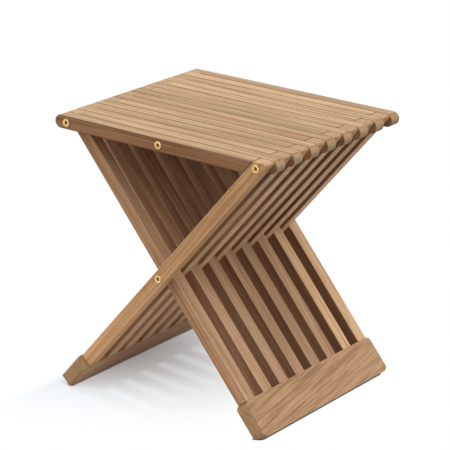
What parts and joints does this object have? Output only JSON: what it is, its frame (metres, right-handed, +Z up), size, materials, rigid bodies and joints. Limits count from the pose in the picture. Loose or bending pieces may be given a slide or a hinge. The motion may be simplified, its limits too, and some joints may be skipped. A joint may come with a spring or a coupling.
{
  "type": "folding stool",
  "caption": "Slatted teak folding stool: crossed leg frames and interleaved seat halves turn on brass rods, so the seat rises and the legs close into a slim bundle.",
  "frame": {"origin": "on the floor, under the middle of the seat", "axes": "+X along the seat slats, to the right seen from the front; +Y from the front slat to the back slat; +Z up"},
  "size_m": [0.4114, 0.364, 0.45],
  "materials": {
    "seat_teak": "sanded, oiled, satin",
    "leg_teak": "sanded, oiled, satin",
    "foot_teak": "sanded, oiled, satin",
    "brass": "polished"
  },
  "bodies": {
    "left_seat": {"left_seat_slat_1": "seat_teak", "left_seat_slat_2": "seat_teak", "left_seat_slat_3": "seat_teak", "left_seat_slat_4": "seat_teak", "left_seat_slat_5": "seat_teak", "left_seat_slat_6": "seat_teak", "left_seat_slat_7": "seat_teak", "left_seat_slat_8": "seat_teak", "left_seat_pivot_pins": "brass", "left_seat_pivot_screw": "brass"},
    "right_leg": {"right_leg_slat_1": "leg_teak", "right_leg_slat_2": "leg_teak", "right_leg_slat_3": "leg_teak", "right_leg_slat_4": "leg_teak", "right_leg_slat_5": "leg_teak", "right_leg_slat_6": "leg_teak", "right_leg_slat_7": "leg_teak", "right_leg_slat_8": "leg_teak", "right_foot_bar": "foot_teak", "left_hinge_rod": "brass", "left_hinge_screws": "brass"},
    "left_leg": {"left_leg_slat_1": "leg_teak", "left_leg_slat_2": "leg_teak", "left_leg_slat_3": "leg_teak", "left_leg_slat_4": "leg_teak", "left_leg_slat_5": "leg_teak", "left_leg_slat_6": "leg_teak", "left_leg_slat_7": "leg_teak", "left_leg_slat_8": "leg_teak", "left_foot_bar": "foot_teak", "leg_pivot_rod": "brass", "leg_pivot_screws": "brass", "right_hinge_rod": "brass", "right_hinge_screws": "brass"},
    "right_seat": {"right_seat_slat_1": "seat_teak", "right_seat_slat_2": "seat_teak", "right_seat_slat_3": "seat_teak", "right_seat_slat_4": "seat_teak", "right_seat_slat_5": "seat_teak", "right_seat_slat_6": "seat_teak", "right_seat_slat_7": "seat_teak", "right_seat_slat_8": "seat_teak", "right_seat_pivot_pins": "brass", "right_seat_pivot_screw": "brass"}
  },
  "joints": [
    {"name": "left_hinge", "type": "hinge", "parent": "left_seat", "child": "right_leg", "pos_m": [-0.1827, 0, 0.4394], "axis": [0, 1, 0], "range_deg": [0, 122.2]},
    {"name": "fold", "type": "hinge", "parent": "right_leg", "child": "left_leg", "pos_m": [0, 0, 0.2242], "axis": [0, -1, 0], "range_deg": [0, 74.26]},
    {"name": "right_hinge", "type": "hinge", "parent": "left_leg", "child": "right_seat", "pos_m": [0.1827, 0, 0.4394], "axis": [0, 1, 0], "range_deg": [0, 122.2]}
  ],
  "couplings": [
    {"joint": "left_hinge", "follows": "fold", "ratio": 1.6453},
    {"joint": "right_hinge", "follows": "fold", "ratio": 1.6453}
  ]
}
